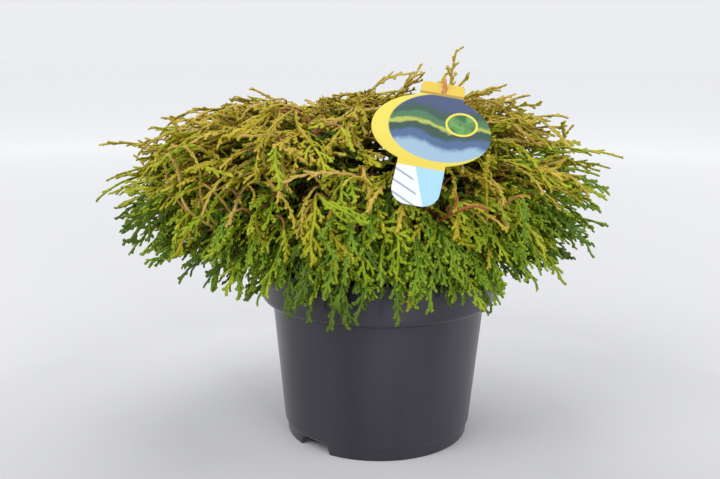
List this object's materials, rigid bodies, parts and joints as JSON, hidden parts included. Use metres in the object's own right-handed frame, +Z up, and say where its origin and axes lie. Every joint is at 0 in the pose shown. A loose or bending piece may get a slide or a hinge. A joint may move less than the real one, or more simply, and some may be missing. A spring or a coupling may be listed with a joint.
{
  "type": "dwarf conifer in a pot",
  "caption": "Low spreading dwarf conifer whose flat cord-like sprays droop over the rim of a dark round nursery pot, with an oval plant label hung on a twig.",
  "frame": {"origin": "The centre of the pot's flat underside, on the surface that the pot stands on.", "axes": "+Z is up along the pot's axis. +X runs to the right along the crown's broad side. -Y is the front, which the label faces."},
  "size_m": [0.515, 0.3245, 0.382],
  "materials": {
    "pot": "satin dark grey polypropylene",
    "growing_medium": "coarse moist bark and peat mix",
    "bark": "thin red-brown bark, slightly fibrous",
    "foliage_side": "mid green scale leaves, satin",
    "foliage_upper": "golden olive scale leaves, satin",
    "foliage_top": "bronze-gold scale leaves, satin",
    "label": "glossy printed card of thin plastic"
  },
  "bodies": {
    "root": {"pot": "pot", "growing_medium": "growing_medium", "trunk": "bark", "bough_side_1": "bark", "foliage_side_1": "foliage_side", "bough_side_2": "bark", "foliage_side_2": "foliage_side", "bough_side_3": "bark", "foliage_side_3": "foliage_side", "bough_side_4": "bark", "foliage_side_4": "foliage_side", "bough_side_5": "bark", "foliage_side_5": "foliage_side", "bough_side_6": "bark", "foliage_side_6": "foliage_side", "bough_side_7": "bark", "foliage_side_7": "foliage_side", "bough_side_8": "bark", "foliage_side_8": "foliage_side", "bough_side_9": "bark", "foliage_side_9": "foliage_side", "bough_upper_1": "bark", "foliage_upper_1": "foliage_upper", "bough_upper_2": "bark", "foliage_upper_2": "foliage_upper", "bough_upper_3": "bark", "foliage_upper_3": "foliage_upper", "bough_upper_4": "bark", "foliage_upper_4": "foliage_upper", "bough_upper_5": "bark", "foliage_upper_5": "foliage_upper", "bough_top": "bark", "foliage_top": "foliage_top", "plant_label": "label"}
  },
  "joints": []
}
